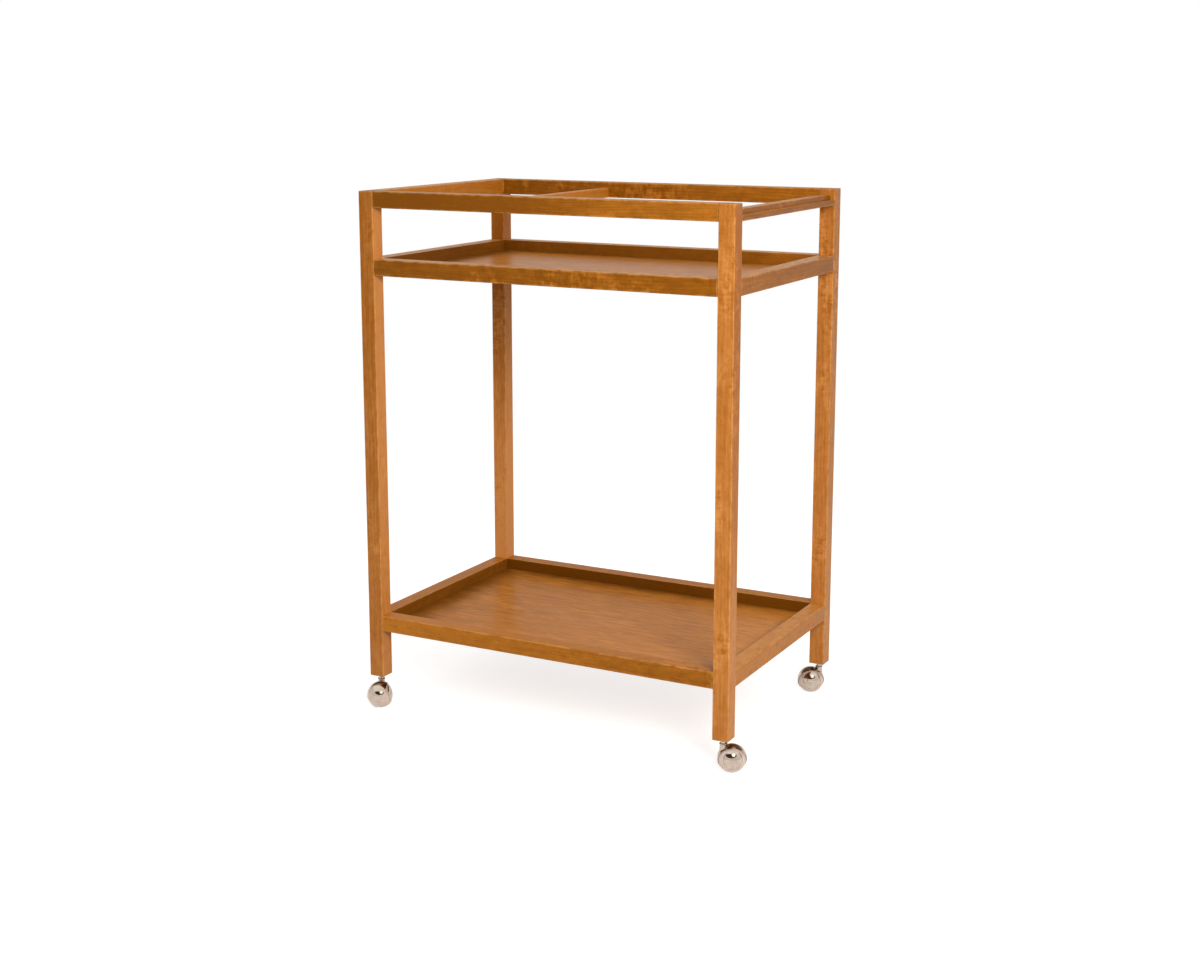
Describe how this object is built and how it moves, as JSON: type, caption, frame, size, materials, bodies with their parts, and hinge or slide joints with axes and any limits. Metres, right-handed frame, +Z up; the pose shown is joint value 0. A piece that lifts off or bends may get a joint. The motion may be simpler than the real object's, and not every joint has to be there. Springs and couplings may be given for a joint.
{
  "type": "serving trolley",
  "caption": "Stained wooden serving trolley with an open, divided top frame and two tray shelves between square posts, on swivelling ball casters.",
  "frame": {"origin": "on the floor, under the middle of the wooden frame", "axes": "+X to the right along the trolley, +Y from front to rear, +Z up"},
  "size_m": [0.6667, 0.4506, 0.8269],
  "materials": {
    "stained_wood": "satin brown stain",
    "stained_panel": "satin brown stain",
    "dowel_wood": "bare beech",
    "polished_nickel": "polished",
    "satin_nickel": "lightly brushed",
    "plated_steel": "zinc plated"
  },
  "bodies": {
    "frame": {"front_left_post": "stained_wood", "front_right_post": "stained_wood", "rear_left_post": "stained_wood", "rear_right_post": "stained_wood", "top_front_rail": "stained_wood", "top_rear_rail": "stained_wood", "top_left_rail": "stained_wood", "top_right_rail": "stained_wood", "upper_front_rail": "stained_wood", "upper_rear_rail": "stained_wood", "upper_left_rail": "stained_wood", "upper_right_rail": "stained_wood", "lower_front_rail": "stained_wood", "lower_rear_rail": "stained_wood", "lower_left_rail": "stained_wood", "lower_right_rail": "stained_wood", "top_divider": "stained_wood", "upper_panel": "stained_panel", "lower_panel": "stained_panel", "top_rail_dowels": "dowel_wood", "top_seat_dowels": "dowel_wood", "upper_rail_dowels": "dowel_wood", "lower_rail_dowels": "dowel_wood", "upper_panel_screws": "plated_steel", "lower_panel_screws": "plated_steel", "front_left_caster_socket": "polished_nickel", "front_right_caster_socket": "polished_nickel", "rear_left_caster_socket": "polished_nickel", "rear_right_caster_socket": "polished_nickel"},
    "front_left_swivel": {"front_left_caster_stem": "polished_nickel", "front_left_caster_grip_ring": "plated_steel", "front_left_caster_hood": "polished_nickel", "front_left_caster_axle": "plated_steel"},
    "front_left_wheel": {"front_left_caster_wheel": "plated_steel", "front_left_caster_tread": "satin_nickel", "front_left_caster_cap": "polished_nickel"},
    "front_right_swivel": {"front_right_caster_stem": "polished_nickel", "front_right_caster_grip_ring": "plated_steel", "front_right_caster_hood": "polished_nickel", "front_right_caster_axle": "plated_steel"},
    "front_right_wheel": {"front_right_caster_wheel": "plated_steel", "front_right_caster_tread": "satin_nickel", "front_right_caster_cap": "polished_nickel"},
    "rear_left_swivel": {"rear_left_caster_stem": "polished_nickel", "rear_left_caster_grip_ring": "plated_steel", "rear_left_caster_hood": "polished_nickel", "rear_left_caster_axle": "plated_steel"},
    "rear_left_wheel": {"rear_left_caster_wheel": "plated_steel", "rear_left_caster_tread": "satin_nickel", "rear_left_caster_cap": "polished_nickel"},
    "rear_right_swivel": {"rear_right_caster_stem": "polished_nickel", "rear_right_caster_grip_ring": "plated_steel", "rear_right_caster_hood": "polished_nickel", "rear_right_caster_axle": "plated_steel"},
    "rear_right_wheel": {"rear_right_caster_wheel": "plated_steel", "rear_right_caster_tread": "satin_nickel", "rear_right_caster_cap": "polished_nickel"}
  },
  "joints": [
    {"name": "front_left_swivel_turn", "type": "hinge", "parent": "frame", "child": "front_left_swivel", "pos_m": [-0.30162, -0.19368, 0.0506], "axis": [0, 0, 1], "continuous": true},
    {"name": "front_left_wheel_roll", "type": "hinge", "parent": "front_left_swivel", "child": "front_left_wheel", "pos_m": [-0.29544, -0.20511, 0.0206], "axis": [0.8663, 0.4684, 0.1736], "continuous": true},
    {"name": "front_right_swivel_turn", "type": "hinge", "parent": "frame", "child": "front_right_swivel", "pos_m": [0.30162, -0.19368, 0.0506], "axis": [0, 0, 1], "continuous": true},
    {"name": "front_right_wheel_roll", "type": "hinge", "parent": "front_right_swivel", "child": "front_right_wheel", "pos_m": [0.31306, -0.18749, 0.0206], "axis": [0.4684, -0.8663, 0.1736], "continuous": true},
    {"name": "rear_left_swivel_turn", "type": "hinge", "parent": "frame", "child": "rear_left_swivel", "pos_m": [-0.30162, 0.19368, 0.0506], "axis": [0, 0, 1], "continuous": true},
    {"name": "rear_left_wheel_roll", "type": "hinge", "parent": "rear_left_swivel", "child": "rear_left_wheel", "pos_m": [-0.31082, 0.20287, 0.0206], "axis": [0.6964, 0.6964, 0.1736], "continuous": true},
    {"name": "rear_right_swivel_turn", "type": "hinge", "parent": "frame", "child": "rear_right_swivel", "pos_m": [0.30162, 0.19368, 0.0506], "axis": [0, 0, 1], "continuous": true},
    {"name": "rear_right_wheel_roll", "type": "hinge", "parent": "rear_right_swivel", "child": "rear_right_wheel", "pos_m": [0.29019, 0.18749, 0.0206], "axis": [0.4684, -0.8663, 0.1736], "continuous": true}
  ]
}
